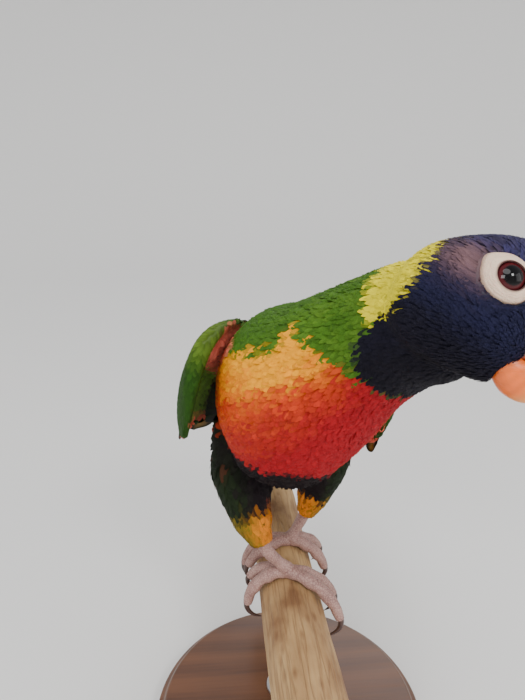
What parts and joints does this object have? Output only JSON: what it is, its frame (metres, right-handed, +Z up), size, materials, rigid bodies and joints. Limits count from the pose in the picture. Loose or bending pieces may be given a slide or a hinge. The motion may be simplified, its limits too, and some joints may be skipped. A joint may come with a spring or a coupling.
{
  "type": "rainbow lorikeet museum model on a perch",
  "caption": "Life-size rainbow lorikeet gripping a short branch, leaning forward with its head turned to its left, on a plain display stand.",
  "frame": {"origin": "centre of the stand base's underside, straight below the place where the right foot grips the branch", "axes": "+Z up; the branch runs along Y and the bird faces -Y; its left side is +X"},
  "size_m": [0.116, 0.2437, 0.2145],
  "materials": {
    "body_plumage": "small overlapping feathers, green back, red and orange breast, black belly, dark blue hood, yellow-green collar",
    "flight_feathers": "long overlapping vanes, green, with a yellow-olive underside on the tail",
    "bill_horn": "orange-red horn, satin",
    "eye": "dark red-brown iris with a black pupil, wet gloss",
    "foot_skin": "grey-pink scaly skin",
    "claw_horn": "dark brown horn, satin",
    "branch_wood": "peeled tan branch with brown mottles, matt",
    "stand_wood": "dark oiled wood, satin",
    "stand_metal": "brushed"
  },
  "bodies": {
    "root": {"stand_base": "stand_wood", "stand_rod": "stand_metal", "perch": "branch_wood", "head": "body_plumage", "neck": "body_plumage", "torso": "body_plumage", "bill_upper": "bill_horn", "bill_lower": "bill_horn", "eye_right": "eye", "eye_left": "eye", "tail": "flight_feathers", "thigh_right": "body_plumage", "foot_right": "foot_skin", "claw_right_2": "claw_horn", "claw_right_3": "claw_horn", "claw_right_1": "claw_horn", "claw_right_4": "claw_horn", "thigh_left": "body_plumage", "foot_left": "foot_skin", "claw_left_2": "claw_horn", "claw_left_3": "claw_horn", "claw_left_1": "claw_horn", "claw_left_4": "claw_horn", "wing_right": "flight_feathers", "wing_left": "flight_feathers"}
  },
  "joints": []
}
